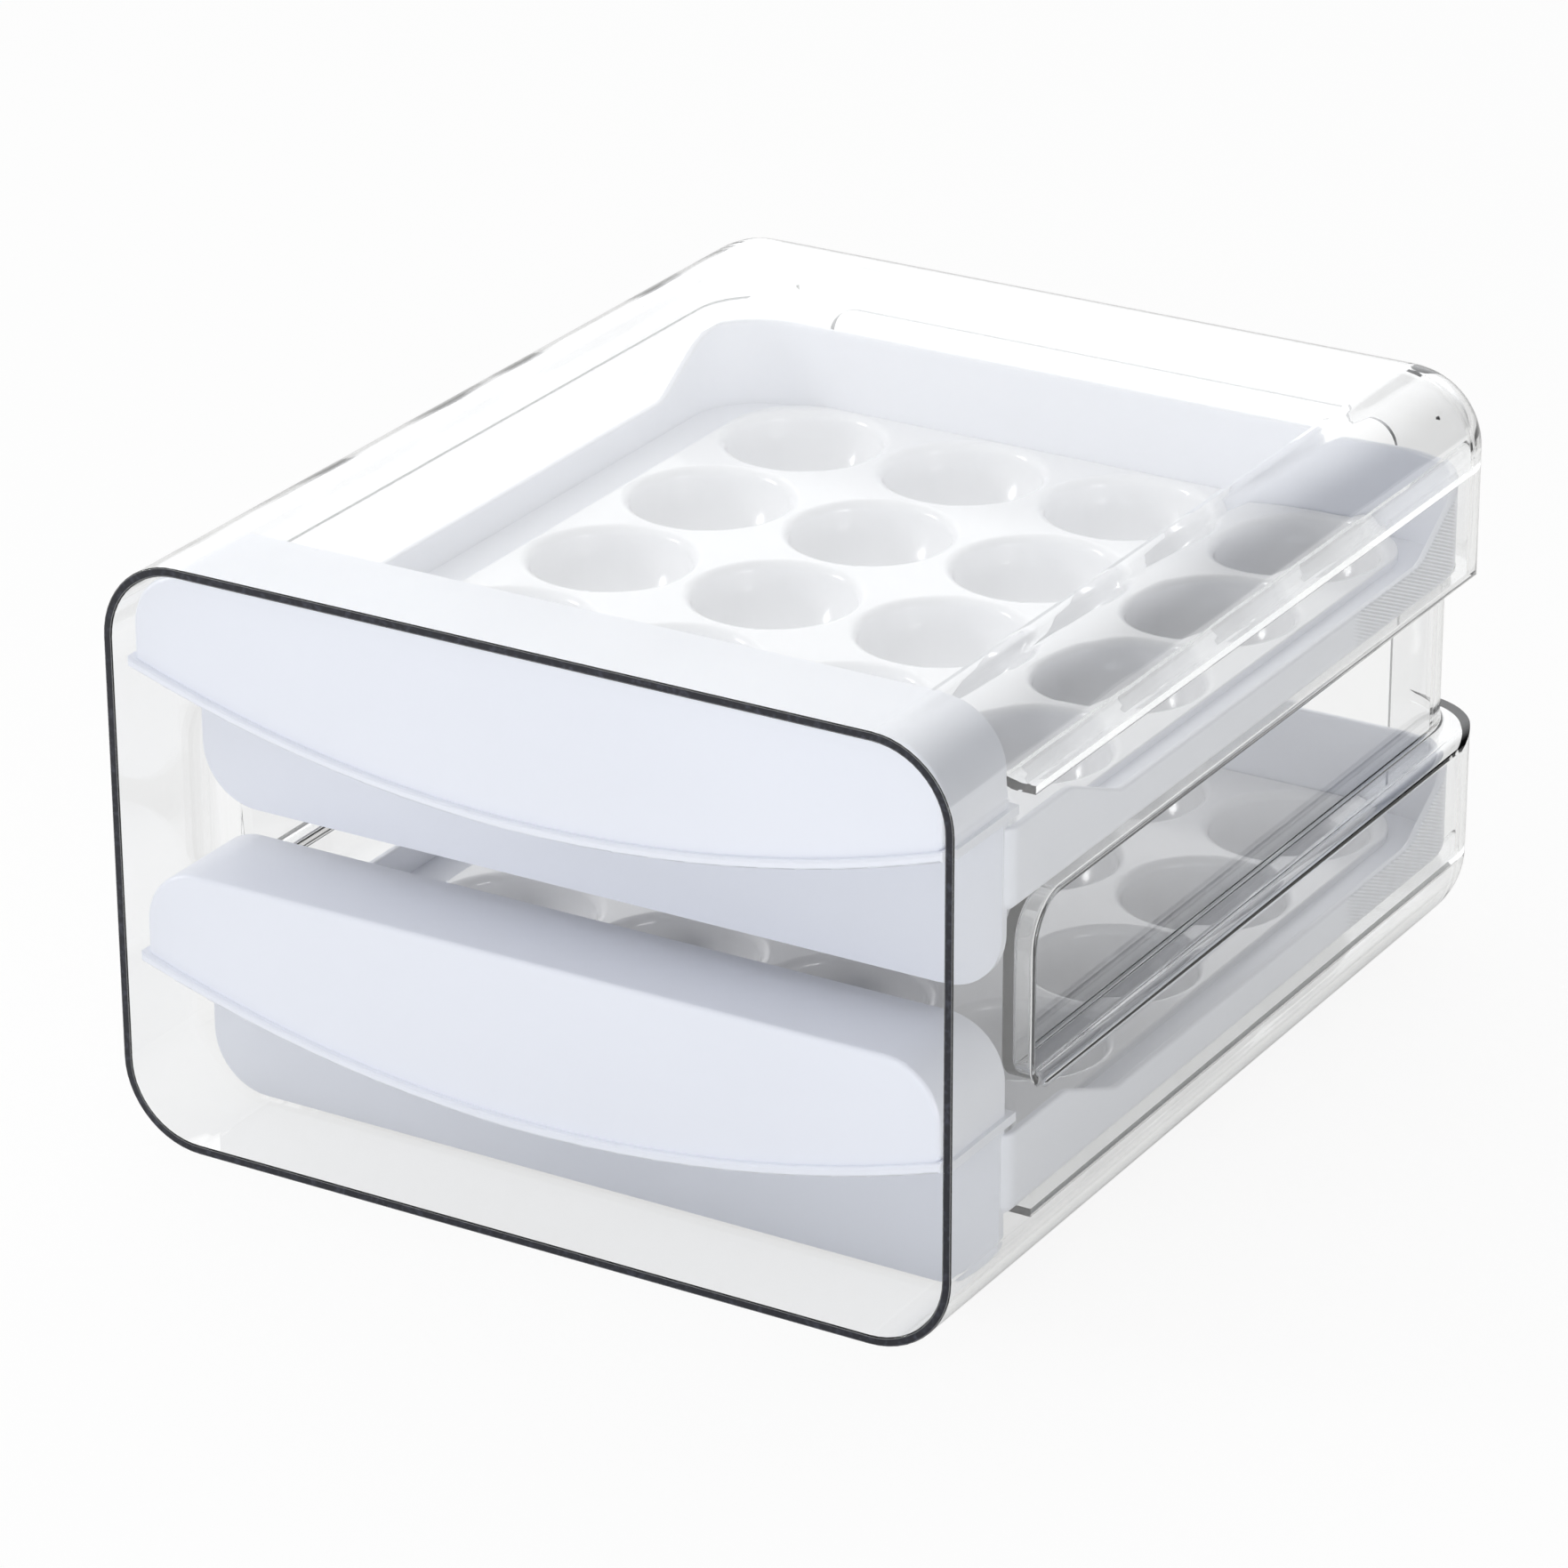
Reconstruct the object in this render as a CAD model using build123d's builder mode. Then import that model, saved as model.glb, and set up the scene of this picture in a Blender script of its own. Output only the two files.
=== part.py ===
from build123d import *
import os
from math import atan2, degrees, sqrt

# Egg storage drawer: a clear open-fronted case with two pull-out drawers, one above the other.
# Each drawer carries a lift-out tray of round egg cups.
# The origin is at the middle of the case's underside, +Y points to the rear and +Z up.
# All sizes are in millimetres.

os.makedirs("parts", exist_ok=True)

# Egg cups and the tray that they hang from
CUP_COLUMNS = 4
CUP_ROWS = 5
CUP_SPACING = 44.8
CUP_R = 19.6
CUP_WALL = 1.3
CUP_LIP_R = 2.4
CUP_RAISE = 0.4
TRAY_PLATE = 2.0
TRAY_CORNER_R = 19.0
TRAY_SEAT = 1.4
TRAY_GAP = 0.2
CUP_CLEARANCE = 0.3
TRAY_EDGE_R = 0.5

# Drawer frame: a floor ring with low walls, raised at the rear
DRAWER_WALL = 2.0
DRAWER_FLOOR = 2.0
SIDE_STRIP = 12.2
FRONT_STRIP = 3.4
WALL_FRONT_RISE = 20.0
WALL_LOW_RISE = 10.5
WALL_REAR_RISE = 24.0
WALL_STEP_START = 25.0
WALL_STEP_LENGTH = 23.0
WALL_RAMP_START = 34.0
WALL_RAMP_LENGTH = 21.6
WALL_BEND_R = 9.0
DRAWER_REAR_R = 20.0
DRAWER_FRONT_R = 4.0
DRAWER_FOOT_R = 3.5
WALL_TOP_R = 0.7

# Drawer front: a recessed wall behind a hood whose lower edge is one long arc
FRONT_SETBACK = 4.0
HOOD_DEPTH = 24.0
FRONT_SIDE_INSET = 1.8
FRONT_CORNER_R = 14.0
FRONT_RISE = 46.0
FRONT_DROP = 18.9
HOOD_WALL = 2.0
HOOD_EDGE_R = 1.2
ARC_LOW = 5.2
ARC_SAGITTA = 16.8
LIP_HEIGHT = 2.2
LIP_REACH = 1.5
LIP_SIDE_REACH = 1.1
LIP_SIDE_OVERRUN = 3.0
LIP_EDGE_R = 0.6

# Case: one clear moulding with a recess along each side
CASE_WALL = 2.2
CASE_CORNER_R = 20.0
RIM_EDGE_R = 0.4
SIDE_GAP = 1.3
REAR_GAP = 5.8
FLOOR_GAP = 0.4
TOP_GAP = 1.3
FRONTS_GAP = 7.1
RUNNER_GAP = 0.3
LEDGE_THICKNESS = 2.0
LEDGE_WIDTH = 6.8
LEDGE_SETBACK = 6.5
LEDGE_OVER_GAP = 1.5
RECESS_DEPTH = 8.2
RECESS_HEIGHT = 38.8
RECESS_SETBACK = 8.9
RECESS_TOP_CORNER_R = 9.0
RECESS_LOW_CORNER_R = 3.0
RECESS_MOUTH_R = 3.5
RECESS_FOOT_R = 1.2
STEP_NOSE_R = 1.5
RECESS_REAR_OVERRUN = 0.3
WINDOW_CORNER_R = 8.0
WINDOW_POST = 1.3
WINDOW_BAND = 2.0

# How far a cutter reaches past what it cuts
PAST = 10.0

# Half sizes outward from the middle of the egg tray
cup_reach = CUP_R + CUP_WALL + CUP_CLEARANCE
well_half_x = (CUP_COLUMNS - 1) / 2 * CUP_SPACING + cup_reach
well_half_y = (CUP_ROWS - 1) / 2 * CUP_SPACING + cup_reach
tray_half_x = well_half_x + TRAY_SEAT
tray_half_y = well_half_y + TRAY_SEAT
inner_half_x = tray_half_x + SIDE_STRIP
drawer_half_x = inner_half_x + DRAWER_WALL
front_half_x = drawer_half_x - FRONT_SIDE_INSET
case_half_x = drawer_half_x + SIDE_GAP + CASE_WALL

# Depths behind the case's front rim
front_wall_depth = FRONT_SETBACK + HOOD_DEPTH
inner_front_depth = front_wall_depth + DRAWER_WALL
tray_middle_depth = inner_front_depth + FRONT_STRIP + tray_half_y
inner_rear_depth = tray_middle_depth + tray_half_y + TRAY_GAP
drawer_rear_depth = inner_rear_depth + DRAWER_WALL
case_depth = drawer_rear_depth + REAR_GAP + CASE_WALL
rim_y = -case_depth / 2
rear_y = case_depth / 2
front_wall_y = rim_y + front_wall_depth
inner_front_y = rim_y + inner_front_depth
inner_rear_y = rim_y + inner_rear_depth
drawer_rear_y = rim_y + drawer_rear_depth
fascia_y = rim_y + FRONT_SETBACK
tray_y = rim_y + tray_middle_depth

# Heights above the surface that the case stands on
lower_base_z = CASE_WALL + FLOOR_GAP + FRONT_DROP
upper_base_z = lower_base_z + FRONT_DROP + FRONT_RISE + FRONTS_GAP
case_height = upper_base_z + FRONT_RISE + TOP_GAP + CASE_WALL
recess_top_z = upper_base_z - RUNNER_GAP - CASE_WALL
recess_bottom_z = recess_top_z - RECESS_HEIGHT
lower_ledge_z = lower_base_z - RUNNER_GAP - LEDGE_THICKNESS
upper_ledge_z = upper_base_z + WALL_REAR_RISE + LEDGE_OVER_GAP
ledge_y = inner_front_y + LEDGE_SETBACK
ledge_inner_x = case_half_x - CASE_WALL - LEDGE_WIDTH


def case_body(inset, front_y):
    """The case's outline inset by a wall, from front_y back, with round long and rear edges."""
    half_x = case_half_x - inset
    back_y = rear_y - inset
    with BuildPart() as body:
        with BuildSketch(Plane.XZ.offset(-back_y)):
            with Locations((0, case_height / 2)):
                Rectangle(2 * half_x, case_height - 2 * inset)
        extrude(amount=back_y - front_y)
        rear_edges = body.faces().sort_by(Axis.Y)[-1].edges()
        fillet(body.edges().filter_by(Axis.Y) + rear_edges, CASE_CORNER_R - inset)
    return body.part


def side_recesses(inset, foot_r):
    """The hollows outside the two side walls, grown by inset to cut the cavity's shape."""
    side_x = case_half_x - inset
    wall_x = case_half_x - RECESS_DEPTH - inset
    bottom_z = recess_bottom_z - inset
    top_z = recess_top_z + inset
    front_y = inner_front_y + RECESS_SETBACK - inset
    arc_r = CASE_CORNER_R - inset
    arc_y = rear_y - CASE_CORNER_R + RECESS_REAR_OVERRUN
    end_y = rear_y + PAST
    with BuildPart() as hollow:
        with BuildSketch(Plane.XY.offset(bottom_z)):
            with BuildLine():
                Line((wall_x, front_y), (wall_x, arc_y))
                CenterArc((wall_x - arc_r, arc_y), arc_r, 0, 90)
                Polyline(
                    (wall_x - arc_r, arc_y + arc_r),
                    (wall_x - arc_r, end_y),
                    (side_x + PAST / 2, end_y),
                    (side_x + PAST / 2, front_y),
                    (wall_x, front_y),
                )
            make_face()
        extrude(amount=top_z - bottom_z)
        front_corners = hollow.edges().filter_by(Axis.X).group_by(Axis.Y)[0].sort_by(Axis.Z)
        fillet(front_corners[0], RECESS_LOW_CORNER_R + inset)
        fillet(front_corners[-1], RECESS_TOP_CORNER_R + inset)
        side_face = hollow.faces().filter_by(Axis.X).filter_by_position(Axis.X, wall_x - 0.1, wall_x + 0.1)
        foot = side_face.edges().filter_by_position(Axis.Y, front_y - 1, arc_y - 1)
        fillet(foot, foot_r)
        with BuildSketch(Plane.YZ.offset(side_x)):
            with Locations((0, case_height / 2)):
                Rectangle(2 * end_y, 2 * case_height)
        extrude(amount=PAST)
        mouth = (
            hollow.edges()
            .filter_by_position(Axis.X, side_x - 0.01, side_x + 0.01)
            .filter_by_position(Axis.Z, bottom_z - 0.5, top_z + 0.5)
            .filter_by_position(Axis.Y, front_y - 0.5, end_y - 1)
        )
        fillet(mouth, RECESS_MOUTH_R - inset)
        mirror(about=Plane.YZ)
    return hollow.part


# Space inside the case, with the ledges left standing along both side walls
with BuildPart() as cavity:
    add(case_body(CASE_WALL, rim_y - PAST))
    add(side_recesses(CASE_WALL, STEP_NOSE_R), mode=Mode.SUBTRACT)
    for ledge_z in (lower_ledge_z, upper_ledge_z):
        for side in (-1, 1):
            with BuildSketch(Plane.XY.offset(ledge_z)):
                with Locations((side * (ledge_inner_x + PAST), (ledge_y + rear_y) / 2)):
                    Rectangle(2 * PAST, rear_y - ledge_y)
            extrude(amount=LEDGE_THICKNESS, mode=Mode.SUBTRACT)

with BuildPart() as case_shell:
    add(case_body(0, rim_y))
    add(side_recesses(0, RECESS_FOOT_R), mode=Mode.SUBTRACT)
    add(cavity.part, mode=Mode.SUBTRACT)
    window_half_x = case_half_x - RECESS_DEPTH - CASE_CORNER_R - WINDOW_POST
    window_height = case_height - 2 * (CASE_CORNER_R + WINDOW_BAND)
    with BuildSketch(Plane.XZ.offset(-rear_y - PAST)):
        with Locations((0, case_height / 2)):
            RectangleRounded(2 * window_half_x, window_height, WINDOW_CORNER_R)
    extrude(amount=CASE_WALL + 1.5 * PAST, mode=Mode.SUBTRACT)
    fillet(case_shell.faces().sort_by(Axis.Y)[0].edges(), RIM_EDGE_R)
case_shell.part.label = "case_shell"
export_step(case_shell.part, "parts/case_shell.step")


def box_corners(half_x, front_y, back_y):
    """The plan corners of a box, the two front ones first."""
    return [(-half_x, front_y), (half_x, front_y), (half_x, back_y), (-half_x, back_y)]


# Drawer frame, drawn with its underside at z = 0
front_middle_z = (FRONT_RISE - FRONT_DROP) / 2
front_height = FRONT_RISE + FRONT_DROP
arc_r = (front_half_x**2 + ARC_SAGITTA**2) / (2 * ARC_SAGITTA)
hood_foot_z = ARC_LOW + ARC_SAGITTA
with BuildPart() as drawer_frame:
    with BuildSketch():
        with BuildLine():
            FilletPolyline(
                *box_corners(drawer_half_x, front_wall_y, drawer_rear_y),
                radius=[DRAWER_FRONT_R, DRAWER_FRONT_R, DRAWER_REAR_R, DRAWER_REAR_R],
                close=True,
            )
        make_face()
    extrude(amount=WALL_REAR_RISE)
    fillet(drawer_frame.faces().sort_by(Axis.Z)[0].edges(), DRAWER_FOOT_R)
    with BuildSketch(Plane.XY.offset(DRAWER_FLOOR)):
        inner_rear_r = DRAWER_REAR_R - DRAWER_WALL
        inner_front_r = DRAWER_FRONT_R - DRAWER_WALL
        with BuildLine():
            FilletPolyline(
                *box_corners(inner_half_x, inner_front_y, inner_rear_y),
                radius=[inner_front_r, inner_front_r, inner_rear_r, inner_rear_r],
                close=True,
            )
        make_face()
    extrude(amount=WALL_REAR_RISE, mode=Mode.SUBTRACT)
    with BuildSketch(Plane.XY.offset(-PAST)):
        with Locations((0, tray_y)):
            RectangleRounded(2 * well_half_x, 2 * well_half_y, TRAY_CORNER_R - TRAY_SEAT)
    extrude(amount=3 * PAST, mode=Mode.SUBTRACT)
    with BuildSketch(Plane.YZ) as above_walls:
        step_y = inner_front_y + WALL_STEP_START
        step_end_y = step_y + WALL_STEP_LENGTH
        ramp_y = drawer_rear_y - WALL_RAMP_START
        ramp_end_y = ramp_y + WALL_RAMP_LENGTH
        with BuildLine():
            FilletPolyline(
                (rim_y, WALL_FRONT_RISE),
                (step_y, WALL_FRONT_RISE),
                (step_end_y, WALL_LOW_RISE),
                (ramp_y, WALL_LOW_RISE),
                (ramp_end_y, WALL_REAR_RISE),
                (ramp_end_y + PAST, WALL_REAR_RISE + 0.01),
                radius=WALL_BEND_R,
            )
            Polyline(
                (ramp_end_y + PAST, WALL_REAR_RISE + 0.01),
                (ramp_end_y + PAST, WALL_REAR_RISE + PAST),
                (rim_y, WALL_REAR_RISE + PAST),
                (rim_y, WALL_FRONT_RISE),
            )
        make_face()
    extrude(amount=case_half_x, both=True, mode=Mode.SUBTRACT)
    wall_tops = (
        drawer_frame.edges()
        .filter_by(Axis.Z, reverse=True)
        .filter_by_position(Axis.Z, WALL_LOW_RISE - 0.1, WALL_REAR_RISE + 0.1)
        .filter_by(lambda edge: edge.length > 1.5 * DRAWER_WALL)
    )
    fillet(wall_tops, WALL_TOP_R)
    with BuildSketch(Plane.XZ.offset(-inner_front_y)):
        with Locations((0, front_middle_z)):
            RectangleRounded(2 * front_half_x, front_height, FRONT_CORNER_R)
    extrude(amount=DRAWER_WALL)
    with BuildSketch(Plane.XZ.offset(-front_wall_y)):
        with Locations((0, front_middle_z)):
            RectangleRounded(2 * front_half_x, front_height, FRONT_CORNER_R)
            RectangleRounded(
                2 * (front_half_x - HOOD_WALL),
                front_height - 2 * HOOD_WALL,
                FRONT_CORNER_R - HOOD_WALL,
                mode=Mode.SUBTRACT,
            )
        with Locations((0, hood_foot_z - FRONT_RISE)):
            Rectangle(3 * front_half_x, 2 * FRONT_RISE, mode=Mode.SUBTRACT)
    extrude(amount=HOOD_DEPTH)
    with BuildSketch(Plane.XZ.offset(-fascia_y - HOOD_WALL)):
        with Locations((0, front_middle_z)):
            RectangleRounded(2 * front_half_x, front_height, FRONT_CORNER_R)
        with Locations((0, ARC_LOW + arc_r)):
            Circle(arc_r, mode=Mode.INTERSECT)
    extrude(amount=HOOD_WALL)
    hood_edges = (
        drawer_frame.faces()
        .filter_by(Axis.Y)
        .filter_by_position(Axis.Y, fascia_y - 0.01, fascia_y + 0.01)
        .edges()
        .filter_by_position(Axis.Z, hood_foot_z + LIP_HEIGHT, FRONT_RISE + 1)
    )
    fillet(hood_edges, HOOD_EDGE_R)
    with BuildSketch(Plane.XZ.offset(-fascia_y - HOOD_WALL)):
        with Locations((0, front_middle_z)):
            Rectangle(2 * (front_half_x + LIP_SIDE_REACH), front_height)
        with Locations((0, ARC_LOW + arc_r)):
            Circle(arc_r, mode=Mode.INTERSECT)
            Circle(arc_r - LIP_HEIGHT, mode=Mode.SUBTRACT)
    extrude(amount=HOOD_WALL + LIP_REACH)
    fillet(drawer_frame.faces().sort_by(Axis.Y)[0].edges(), LIP_EDGE_R)
    side_lip_length = HOOD_DEPTH + LIP_SIDE_OVERRUN
    for side in (-1, 1):
        with BuildSketch(Plane.XY.offset(hood_foot_z)):
            lip_middle_x = front_half_x + (LIP_SIDE_REACH - HOOD_WALL) / 2
            with Locations((side * lip_middle_x, fascia_y + HOOD_WALL + side_lip_length / 2)):
                Rectangle(HOOD_WALL + LIP_SIDE_REACH, side_lip_length)
        extrude(amount=LIP_HEIGHT)

# Shape cut out of the tray for one cup: a bowl with a rounded lip, centred on the origin
lip_z = CUP_RAISE - CUP_LIP_R
lip_x = sqrt((CUP_R + CUP_LIP_R) ** 2 - lip_z**2)
lip_angle = degrees(atan2(lip_z, lip_x))
with BuildPart() as cup_hollow:
    with BuildSketch(Plane.XZ):
        with BuildLine():
            CenterArc((0, 0), CUP_R, -90, 90 + lip_angle)
            CenterArc((lip_x, lip_z), CUP_LIP_R, 180 + lip_angle, -90 - lip_angle)
            Polyline((lip_x, CUP_RAISE), (lip_x, PAST), (0, PAST), (0, -CUP_R))
        make_face()
    revolve(axis=Axis.Z)

# Egg tray, drawn in the same frame as the drawer that it lies in
plate_top_z = DRAWER_FLOOR + TRAY_PLATE
cup_z = plate_top_z - CUP_RAISE
below = (Align.CENTER, Align.CENTER, Align.MAX)
with BuildPart() as egg_tray:
    with BuildSketch(Plane.XY.offset(DRAWER_FLOOR)):
        with Locations((0, tray_y)):
            RectangleRounded(2 * tray_half_x, 2 * tray_half_y, TRAY_CORNER_R)
    extrude(amount=TRAY_PLATE)
    fillet(egg_tray.faces().sort_by(Axis.Z)[-1].edges(), TRAY_EDGE_R)
    with Locations((0, tray_y, cup_z)):
        with GridLocations(CUP_SPACING, CUP_SPACING, CUP_COLUMNS, CUP_ROWS):
            Sphere(CUP_R + CUP_WALL, arc_size1=-90, arc_size2=0, align=below)
    with Locations((0, tray_y, cup_z)):
        with GridLocations(CUP_SPACING, CUP_SPACING, CUP_COLUMNS, CUP_ROWS):
            add(cup_hollow.part, mode=Mode.SUBTRACT)

for level, base_z in (("lower", lower_base_z), ("upper", upper_base_z)):
    placed_frame = Pos(0, 0, base_z) * drawer_frame.part
    placed_frame.label = f"{level}_drawer"
    export_step(placed_frame, f"parts/{level}_drawer.step")
    placed_tray = Pos(0, 0, base_z) * egg_tray.part
    placed_tray.label = f"{level}_egg_tray"
    export_step(placed_tray, f"parts/{level}_egg_tray.step")
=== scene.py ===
"""Egg storage drawer: materials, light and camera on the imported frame."""
import math

import bpy
from mathutils import Matrix, Vector


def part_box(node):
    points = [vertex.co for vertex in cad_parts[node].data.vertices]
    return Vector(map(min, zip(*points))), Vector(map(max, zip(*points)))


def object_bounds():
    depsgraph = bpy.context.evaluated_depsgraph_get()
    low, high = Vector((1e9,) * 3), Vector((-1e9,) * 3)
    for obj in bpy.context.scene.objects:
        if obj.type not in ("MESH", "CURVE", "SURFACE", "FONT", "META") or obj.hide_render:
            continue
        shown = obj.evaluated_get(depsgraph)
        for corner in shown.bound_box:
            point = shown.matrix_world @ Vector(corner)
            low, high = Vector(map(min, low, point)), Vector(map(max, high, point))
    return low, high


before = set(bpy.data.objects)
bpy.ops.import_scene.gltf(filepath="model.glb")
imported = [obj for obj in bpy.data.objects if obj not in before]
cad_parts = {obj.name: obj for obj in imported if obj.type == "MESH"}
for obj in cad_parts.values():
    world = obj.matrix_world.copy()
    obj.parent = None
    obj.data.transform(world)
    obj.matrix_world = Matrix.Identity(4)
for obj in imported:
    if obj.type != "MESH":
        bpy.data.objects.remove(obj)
cad_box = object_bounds()

# Colours are linear, and lengths are in metres.
CLEAR = (0.985, 0.988, 0.99)
CLEAR_SHADOW = (0.965, 0.965, 0.96)
DEEP_CLEAR = (0.14, 0.13, 0.08)
DEEP_DENSITY = 26.0
# Painted shade: clear plastic tinted dark grey at grazing angles, for the dark refracted edges,
# partly for the longer path through the wall.
GRAZING_PAINTED_SHADE = (0.16, 0.165, 0.18)
# Painted shade: the dark lines along the cut rim and the rear window's cut edge, uneven between
# these two tones.
CUT_EDGE_PAINTED_SHADE = (0.004, 0.005, 0.012)
CUT_EDGE_PAINTED_SHADE_PALE = (0.03, 0.032, 0.05)
DRAWER_WHITE = (0.848, 0.866, 0.93)
TRAY_WHITE = (0.92, 0.923, 0.945)
FLOOR_WHITE = (0.93, 0.925, 0.905)
SKY_WHITE = (0.975, 0.985, 1.0, 1.0)
PATCH_SHADE = 0.985
GROOVE_SHADE = 0.86
FLOOR_SHADE = 0.995
PLASTIC_IOR = 1.5

# Case outline, rear window, and the painted shade lines on the cut rim and the window's cut edge
CORNER_RADIUS = 0.020
WINDOW_HALF = (0.0780, 0.0495)
WINDOW_CORNER = 0.008
RIM_MIDDLE = 0.00108
RIM_FADE = (0.00070, 0.00095)
RIM_FRONT_DEPTH = (0.0002, 0.0005)
WALL_MIDDLE = 0.0011
WALL_FADE = (0.00085, 0.00105)
WINDOW_SHADE_LINE_STRENGTH = 0.95
WINDOW_FACE_FADE = (0.00012, 0.00020)
TOP_BEND_WIDTH = 0.006

# Clear plastic: noise scales, the part of a noise or angle that shows, and strengths
UNEVEN_EDGE_SHADE_SCALE = 700.0
WAVE_SCALE = 24.0
SMEAR_SCALE = 26.0
SPOTS = (0.45, 0.75)
GRAZING = (0.86, 0.99)
RIM_OPACITY = 0.9
RIM_ROUGHNESS = 0.3
SMEAR_ROUGHNESS = 0.012
WAVES_ELSEWHERE = 0.05
WAVE_BUMP = (0.6, 0.001)

# White plastic and floor: noise scales, roughness ranges, and strength and height of bumps
PATCHES = (0.35, 0.7)
DRAWER_PATCH_SCALE = 14.0
DRAWER_GRAIN_SCALE = 2200.0
DRAWER_ROUGHNESS = (0.30, 0.37)
DRAWER_GRAIN_BUMP = (0.03, 0.0002)
HATCH_BUMP = (0.6, 0.0002)
TRAY_PATCH_SCALE = 18.0
TRAY_WAVE_SCALE = 30.0
TRAY_ROUGHNESS = (0.13, 0.19)
TRAY_WAVE_BUMP = (0.15, 0.0006)
FLOOR_PATCH_SCALE = 3.0
FLOOR_WHITE_SEEN = 0.9
FLOOR_WHITE_MIRRORED = 0.4

# Fine lines on the raised rear ends of the drawers' side walls
HATCH_SPACING = 0.00095
HATCH_SLOPE = 0.44
HATCH_FROM_Y = (0.055, 0.062)
HATCH_FROM_X = (0.1034, 0.1038)

# Floor and room: each soft side is a direction, the cosine where it starts, and a strength
FLOOR_HALF = 6.0
FLOOR_GAP = 0.0002
ROOM_BASE = 0.03
SOFT_SIDES = [
    ((-0.34, 0.85, 0.40), 0.65, 1.60),
    ((0.2, -0.95, 0.25), 0.2, 0.42),
    ((-0.12, 0.05, 0.98), 0.35, 0.68),
    ((-0.93, 0.10, 0.36), 0.5, 0.55),
]

# Camera: lens and sensor in millimetres, yaw, pitch and roll in degrees
LENS = 151.88
SENSOR_WIDTH = 36.0
YAW_PITCH_ROLL = (30.85, 24.02, -0.22)
CAMERA_PLACE = (0.7104, -1.2112, 0.6858)


# Materials
class Nodes:
    """Short calls for building one material's node tree."""

    def __init__(self, name):
        self.material = bpy.data.materials.new(name)
        self.material.use_nodes = True
        self.tree = self.material.node_tree
        self.tree.nodes.clear()

    def add(self, kind, **values):
        node = self.tree.nodes.new(kind)
        for key, value in values.items():
            setattr(node, key, value)
        return node

    def link(self, source, target):
        self.tree.links.new(source, target)

    def put(self, node, name, value):
        """Sets a socket, or links it where the value is another socket."""
        socket = node.inputs[name]
        if isinstance(value, bpy.types.NodeSocket):
            self.link(value, socket)
        elif socket.type == "RGBA":
            socket.default_value = (*value, 1.0)
        else:
            socket.default_value = value

    def coordinates(self):
        return self.add("ShaderNodeTexCoord").outputs["Object"]

    def axis(self, letter):
        split = self.add("ShaderNodeSeparateXYZ")
        self.link(self.coordinates(), split.inputs[0])
        return split.outputs[letter]

    def math(self, operation, first, second=0.0):
        node = self.add("ShaderNodeMath", operation=operation)
        self.put(node, 0, first)
        self.put(node, 1, second)
        return node.outputs[0]

    def ramp(self, value, start, end, low=0.0, high=1.0):
        """Goes smoothly from low at start to high at end."""
        node = self.add("ShaderNodeMapRange", interpolation_type="SMOOTHSTEP")
        self.put(node, "Value", value)
        self.put(node, "From Min", start)
        self.put(node, "From Max", end)
        self.put(node, "To Min", low)
        self.put(node, "To Max", high)
        return node.outputs["Result"]

    def noise(self, scale, detail=2.0):
        node = self.add("ShaderNodeTexNoise")
        self.put(node, "Vector", self.coordinates())
        self.put(node, "Scale", scale)
        self.put(node, "Detail", detail)
        return node.outputs[0]

    def mix_colour(self, factor, first, second):
        """The mix node keeps its colour sockets after those for numbers and vectors."""
        first_colour, second_colour, colour_result = 6, 7, 2
        node = self.add("ShaderNodeMix", data_type="RGBA")
        self.put(node, 0, factor)
        self.put(node, first_colour, first)
        self.put(node, second_colour, second)
        return node.outputs[colour_result]

    def mix_shader(self, factor, first, second):
        node = self.add("ShaderNodeMixShader")
        self.put(node, 0, factor)
        self.link(first, node.inputs[1])
        self.link(second, node.inputs[2])
        return node.outputs[0]

    def bump(self, height, strength, distance, normal=None):
        node = self.add("ShaderNodeBump")
        self.put(node, "Height", height)
        self.put(node, "Strength", strength)
        self.put(node, "Distance", distance)
        if normal is not None:
            self.link(normal, node.inputs["Normal"])
        return node.outputs[0]

    def finish(self, surface, volume=None):
        output = self.add("ShaderNodeOutputMaterial")
        self.link(surface, output.inputs["Surface"])
        if volume is not None:
            self.link(volume, output.inputs["Volume"])
        return self.material


def shaded(colour, share):
    return tuple(channel * share for channel in colour)


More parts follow.
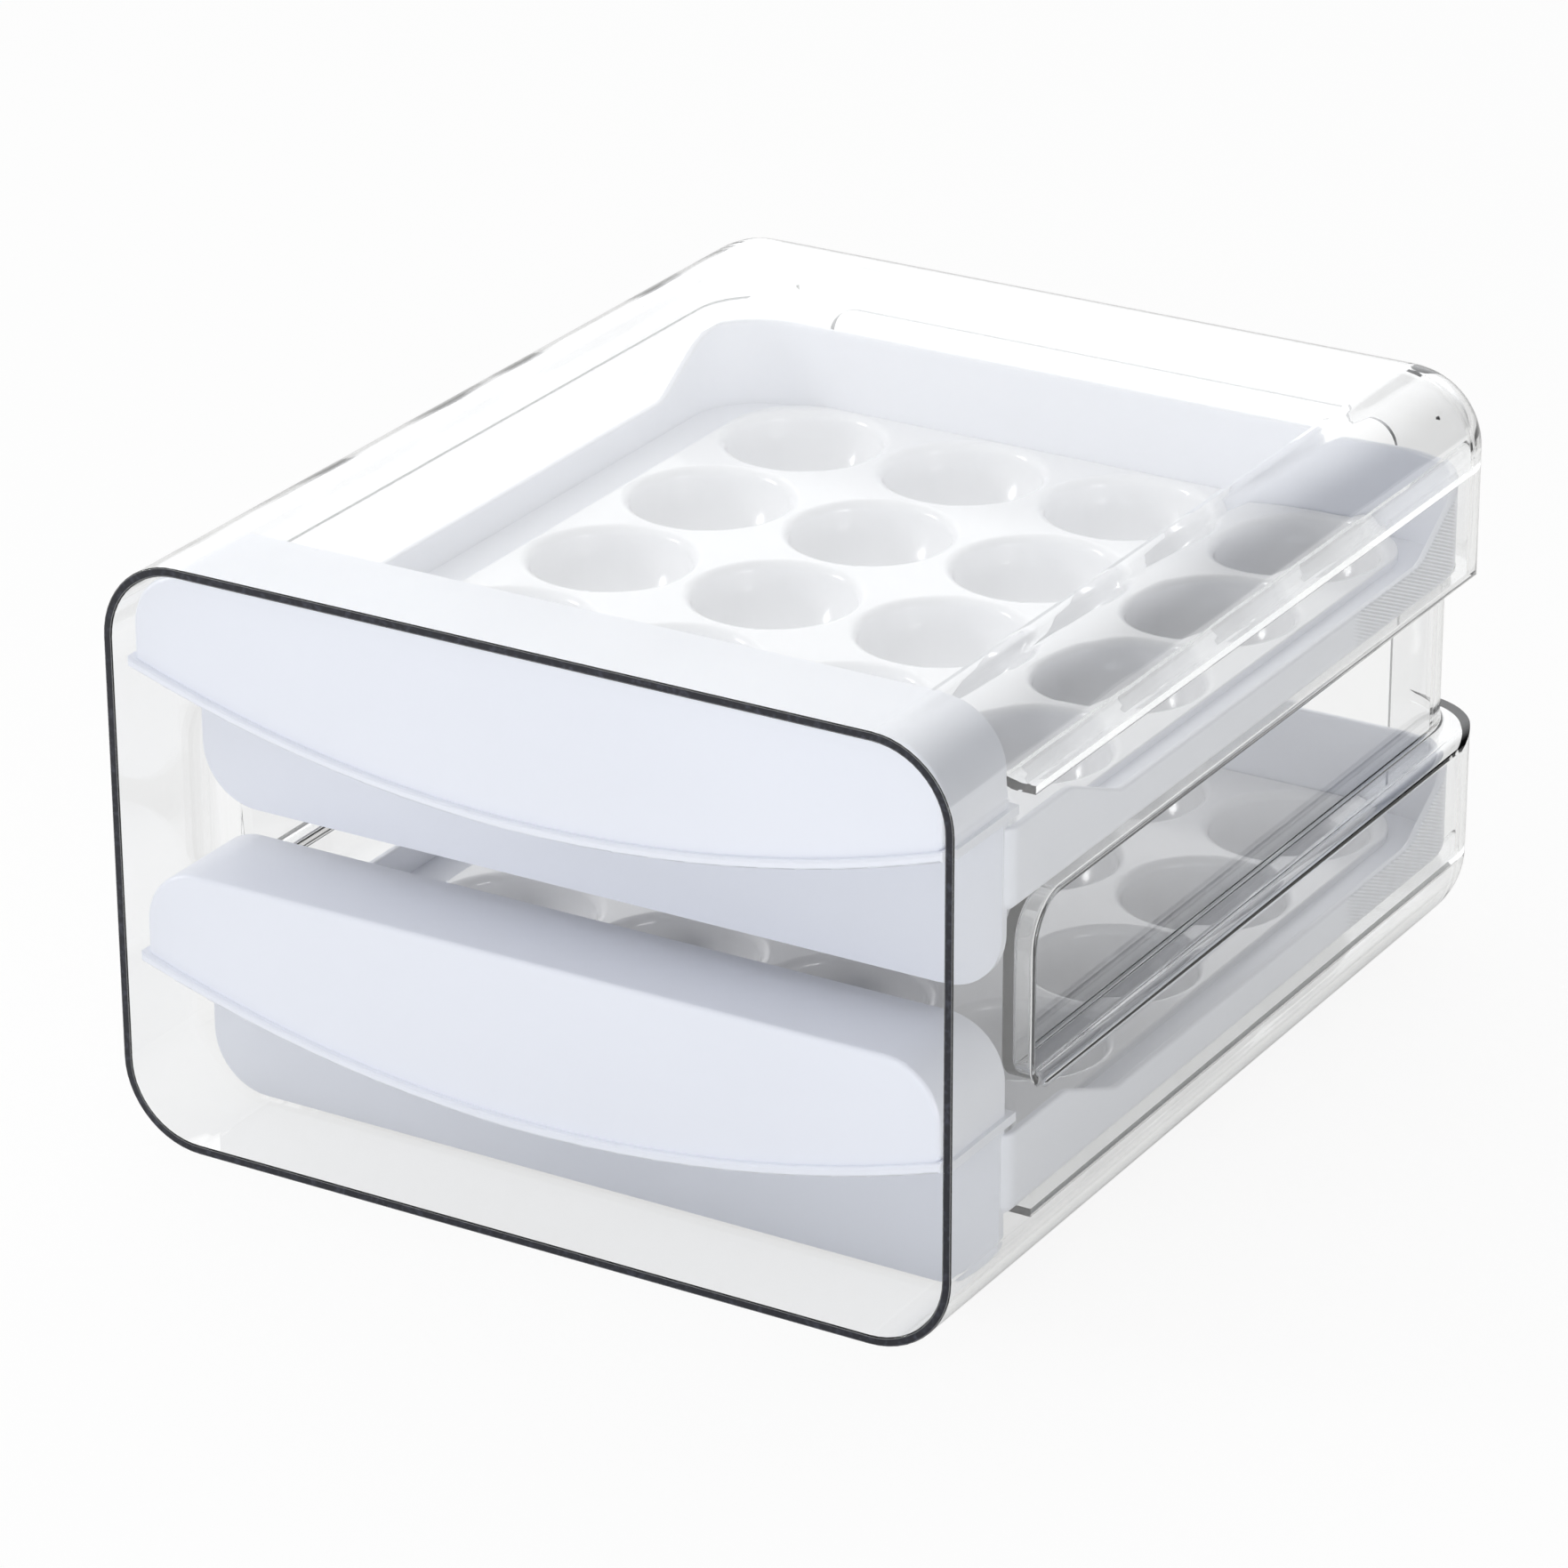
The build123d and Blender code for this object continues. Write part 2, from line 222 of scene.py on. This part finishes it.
def clear_material():
    n = Nodes("clear_case")
    low, high = (Vector(corner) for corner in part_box("case_shell"))
    middle = (low + high) / 2

    def inside_outline(half_x, half_z, radius):
        """How deep a point lies inside a round-cornered outline seen from the front.

        Also how far the point is past the flat part of the outline's sides, across and up.
        """
        beyond = []
        for letter, centre, half in (("X", middle.x, half_x), ("Z", middle.z, half_z)):
            offset = n.math("ABSOLUTE", n.math("SUBTRACT", n.axis(letter), centre))
            beyond.append(n.math("SUBTRACT", offset, half - radius))
        squares = [n.math("POWER", n.math("MAXIMUM", past, 0.0), 2.0) for past in beyond]
        outside = n.math("SQRT", n.math("ADD", *squares))
        inside = n.math("MINIMUM", n.math("MAXIMUM", *beyond), 0.0)
        return n.math("SUBTRACT", radius, n.math("ADD", outside, inside)), beyond

    # The cut rim at the front is painted dark along the middle of the wall's thickness: painted
    # shade where the clear edge looks dark.
    depth, beyond = inside_outline((high.x - low.x) / 2, (high.z - low.z) / 2, CORNER_RADIUS)
    off_middle = n.math("ABSOLUTE", n.math("SUBTRACT", depth, RIM_MIDDLE))
    core = n.ramp(off_middle, *RIM_FADE, 1.0, 0.0)
    front_start, front_end = (low.y + step for step in RIM_FRONT_DEPTH)
    front = n.ramp(n.axis("Y"), front_start, front_end, 1.0, 0.0)
    # So is the cut edge of the rear window, painted as a dark line of shade.
    window, _ = inside_outline(*WINDOW_HALF, WINDOW_CORNER)
    cut_face = n.ramp(n.math("ABSOLUTE", window), *WINDOW_FACE_FADE, 1.0, 0.0)
    line = n.math("ABSOLUTE", n.math("SUBTRACT", n.axis("Y"), high.y - WALL_MIDDLE))
    line = n.math("MULTIPLY", cut_face, n.ramp(line, *WALL_FADE, WINDOW_SHADE_LINE_STRENGTH, 0.0))
    painted_cut_edge_shade = n.math("MAXIMUM", n.math("MULTIPLY", front, core), line)
    # Painted shade, uneven along the lines.
    uneven_edge_shade = n.ramp(n.noise(UNEVEN_EDGE_SHADE_SCALE), *SPOTS)
    cut_edge_shade_colour = n.mix_colour(uneven_edge_shade, CUT_EDGE_PAINTED_SHADE, CUT_EDGE_PAINTED_SHADE_PALE)
    # Slow waves in the moulding, stronger round the two long top edges.
    bend = n.ramp(n.math("MINIMUM", *beyond), 0.0, TOP_BEND_WIDTH)
    bend = n.math("MULTIPLY", bend, n.ramp(n.axis("Z"), middle.z, high.z - CORNER_RADIUS))
    bend = n.math("ADD", bend, WAVES_ELSEWHERE)
    flow = n.math("MULTIPLY", n.noise(WAVE_SCALE, detail=1.0), bend)
    smears = n.ramp(n.noise(SMEAR_SCALE, detail=4.0), *SPOTS)
    # Painted shade: darker at grazing angles, standing in for dark refracted edges and partly the
    # longer path through the wall.
    grazing = n.add("ShaderNodeLayerWeight")
    grazing_shade = n.ramp(grazing.outputs["Facing"], *GRAZING)
    glass = n.add("ShaderNodeBsdfPrincipled")
    n.put(glass, "Base Color", n.mix_colour(painted_cut_edge_shade, n.mix_colour(grazing_shade, CLEAR, GRAZING_PAINTED_SHADE), cut_edge_shade_colour))
    opacity = n.math("MULTIPLY", painted_cut_edge_shade, RIM_OPACITY)
    n.put(glass, "Transmission Weight", n.math("SUBTRACT", 1.0, opacity))
    rough = n.math("MULTIPLY", smears, SMEAR_ROUGHNESS)
    n.put(glass, "Roughness", n.math("ADD", rough, n.math("MULTIPLY", painted_cut_edge_shade, RIM_ROUGHNESS)))
    n.put(glass, "IOR", PLASTIC_IOR)
    n.put(glass, "Normal", n.bump(flow, *WAVE_BUMP))
    # Light that reaches the pieces inside passes straight through the case.
    through = n.add("ShaderNodeBsdfTransparent")
    n.put(through, "Color", CLEAR_SHADOW)
    path = n.add("ShaderNodeLightPath")
    passing = n.math("MAXIMUM", path.outputs["Is Shadow Ray"], path.outputs["Is Diffuse Ray"])
    deep = n.add("ShaderNodeVolumeAbsorption")
    n.put(deep, "Color", DEEP_CLEAR)
    n.put(deep, "Density", DEEP_DENSITY)
    return n.finish(n.mix_shader(passing, glass.outputs[0], through.outputs[0]), deep.outputs[0])


def drawer_material():
    n = Nodes("drawer_white")
    patches = n.ramp(n.noise(DRAWER_PATCH_SCALE, detail=3.0), *PATCHES)
    grain = n.noise(DRAWER_GRAIN_SCALE)
    plastic = n.add("ShaderNodeBsdfPrincipled")
    n.put(plastic, "Roughness", n.ramp(patches, 0.0, 1.0, *DRAWER_ROUGHNESS))
    n.put(plastic, "IOR", PLASTIC_IOR)
    # Fine lines across the raised rear ends of the side walls, bumped, with painted shade
    # darkening the grooves.
    line = n.math("ADD", n.axis("Z"), n.math("MULTIPLY", n.axis("Y"), HATCH_SLOPE))
    wave = n.math("SINE", n.math("MULTIPLY", line, 2 * math.pi / HATCH_SPACING))
    raised = n.ramp(n.axis("Y"), *HATCH_FROM_Y)
    side = n.ramp(n.math("ABSOLUTE", n.axis("X")), *HATCH_FROM_X)
    hatch = n.math("MULTIPLY", wave, n.math("MULTIPLY", raised, side))
    grooves = n.ramp(hatch, 0.0, 1.0)
    white = n.mix_colour(patches, DRAWER_WHITE, shaded(DRAWER_WHITE, PATCH_SHADE))
    groove_shaded_white = n.mix_colour(grooves, white, shaded(DRAWER_WHITE, GROOVE_SHADE))
    n.put(plastic, "Base Color", groove_shaded_white)
    fine = n.bump(grain, *DRAWER_GRAIN_BUMP)
    n.put(plastic, "Normal", n.bump(hatch, *HATCH_BUMP, fine))
    return n.finish(plastic.outputs[0])


def tray_material():
    n = Nodes("tray_white")
    patches = n.ramp(n.noise(TRAY_PATCH_SCALE, detail=3.0), *PATCHES)
    flow = n.noise(TRAY_WAVE_SCALE)
    plastic = n.add("ShaderNodeBsdfPrincipled")
    white = n.mix_colour(patches, TRAY_WHITE, shaded(TRAY_WHITE, PATCH_SHADE))
    n.put(plastic, "Base Color", white)
    n.put(plastic, "Roughness", n.ramp(patches, 0.0, 1.0, *TRAY_ROUGHNESS))
    n.put(plastic, "IOR", PLASTIC_IOR)
    n.put(plastic, "Normal", n.bump(flow, *TRAY_WAVE_BUMP))
    return n.finish(plastic.outputs[0])


def floor_material():
    """Matt, but mostly plain white where seen directly or through the case, partly in mirrors."""
    n = Nodes("floor_pale")
    matt = n.add("ShaderNodeBsdfDiffuse")
    patches = n.noise(FLOOR_PATCH_SCALE)
    n.put(matt, "Color", n.mix_colour(patches, FLOOR_WHITE, shaded(FLOOR_WHITE, FLOOR_SHADE)))
    white = n.add("ShaderNodeEmission")
    n.put(white, "Strength", 1.0)
    path = n.add("ShaderNodeLightPath").outputs
    seen = n.math("MAXIMUM", path["Is Camera Ray"], path["Is Transmission Ray"])
    seen = n.math("MULTIPLY", seen, FLOOR_WHITE_SEEN)
    mirrored = n.math("MULTIPLY", path["Is Glossy Ray"], FLOOR_WHITE_MIRRORED)
    seen = n.math("MAXIMUM", seen, mirrored)
    return n.finish(n.mix_shader(seen, matt.outputs[0], white.outputs[0]))


finishes = {
    "case_shell": clear_material(),
    "upper_drawer": drawer_material(),
    "upper_egg_tray": tray_material(),
}
finishes["lower_drawer"] = finishes["upper_drawer"]
finishes["lower_egg_tray"] = finishes["upper_egg_tray"]
for name, material in finishes.items():
    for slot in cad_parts[name].material_slots:
        slot.material = material


# Floor and light
def make_floor(half):
    mesh = bpy.data.meshes.new("floor")
    corners = [(-half, -half, 0), (half, -half, 0), (half, half, 0), (-half, half, 0)]
    mesh.from_pydata(corners, [], [(0, 1, 2, 3)])
    floor = bpy.data.objects.new("floor", mesh)
    bpy.context.scene.collection.objects.link(floor)
    floor.location.z = cad_box[0][2] - FLOOR_GAP
    mesh.materials.append(floor_material())


def make_lamp(name, place, target, width, height, power, colour=(1.0, 1.0, 1.0)):
    data = bpy.data.lights.new(name, "AREA")
    data.shape = "RECTANGLE"
    data.size = width
    data.size_y = height
    data.energy = power
    data.color = colour
    lamp = bpy.data.objects.new(name, data)
    bpy.context.scene.collection.objects.link(lamp)
    lamp.location = place
    lamp.rotation_euler = (Vector(target) - Vector(place)).to_track_quat("-Z", "Y").to_euler()


def make_world(base, soft_sides):
    """A dim room with soft bright sides."""
    world = bpy.data.worlds.new("studio")
    bpy.context.scene.world = world
    world.use_nodes = True
    tree = world.node_tree
    tree.nodes.clear()
    direction = tree.nodes.new("ShaderNodeTexCoord").outputs["Generated"]
    sky = tree.nodes.new("ShaderNodeBackground")
    sky.inputs["Color"].default_value = SKY_WHITE
    total = None
    for towards, start, strength in soft_sides:
        dot = tree.nodes.new("ShaderNodeVectorMath")
        dot.operation = "DOT_PRODUCT"
        tree.links.new(direction, dot.inputs[0])
        dot.inputs[1].default_value = Vector(towards).normalized()
        rise = tree.nodes.new("ShaderNodeMapRange")
        rise.interpolation_type = "SMOOTHSTEP"
        tree.links.new(dot.outputs["Value"], rise.inputs["Value"])
        rise.inputs["From Min"].default_value = start
        rise.inputs["To Max"].default_value = strength
        add = tree.nodes.new("ShaderNodeMath")
        add.inputs[1].default_value = base
        tree.links.new(rise.outputs["Result"], add.inputs[0])
        if total is not None:
            tree.links.new(total, add.inputs[1])
        total = add.outputs[0]
    tree.links.new(total, sky.inputs["Strength"])
    output = tree.nodes.new("ShaderNodeOutputWorld")
    tree.links.new(sky.outputs[0], output.inputs["Surface"])


make_floor(FLOOR_HALF)
make_world(ROOM_BASE, SOFT_SIDES)
make_lamp(
    "front", place=(0.50, -1.25, 0.30), target=(0.0, 0.0, 0.05),
    width=1.0, height=0.5, power=3.5, colour=(0.90, 0.94, 1.0),
)
make_lamp(
    "window", place=(-1.25, -0.55, 0.62), target=(0.0, 0.0, 0.08),
    width=0.30, height=0.32, power=4.7,
)
make_lamp(
    "side", place=(1.30, -0.45, 0.20), target=(0.0, 0.0, 0.07),
    width=0.5, height=0.3, power=3.8,
)


# Camera
def make_camera():
    data = bpy.data.cameras.new("camera")
    data.sensor_fit = "HORIZONTAL"
    data.sensor_width = SENSOR_WIDTH
    data.lens = LENS
    data.clip_start = 0.05
    data.clip_end = 50.0
    yaw, pitch, roll = (math.radians(angle) for angle in YAW_PITCH_ROLL)
    turn = Matrix.Rotation(yaw, 3, "Z")
    forward = turn @ Vector((0, math.cos(pitch), -math.sin(pitch)))
    right = turn @ Vector((1, 0, 0))
    up = right.cross(forward)
    side = math.cos(roll) * right + math.sin(roll) * up
    top = math.cos(roll) * up - math.sin(roll) * right
    frame_axes = Matrix((side, top, -forward)).transposed()
    camera = bpy.data.objects.new("camera", data)
    camera.matrix_world = Matrix.Translation(CAMERA_PLACE) @ frame_axes.to_4x4()
    bpy.context.scene.collection.objects.link(camera)
    bpy.context.scene.camera = camera


make_camera()
bpy.context.scene.view_settings.view_transform = "Standard"
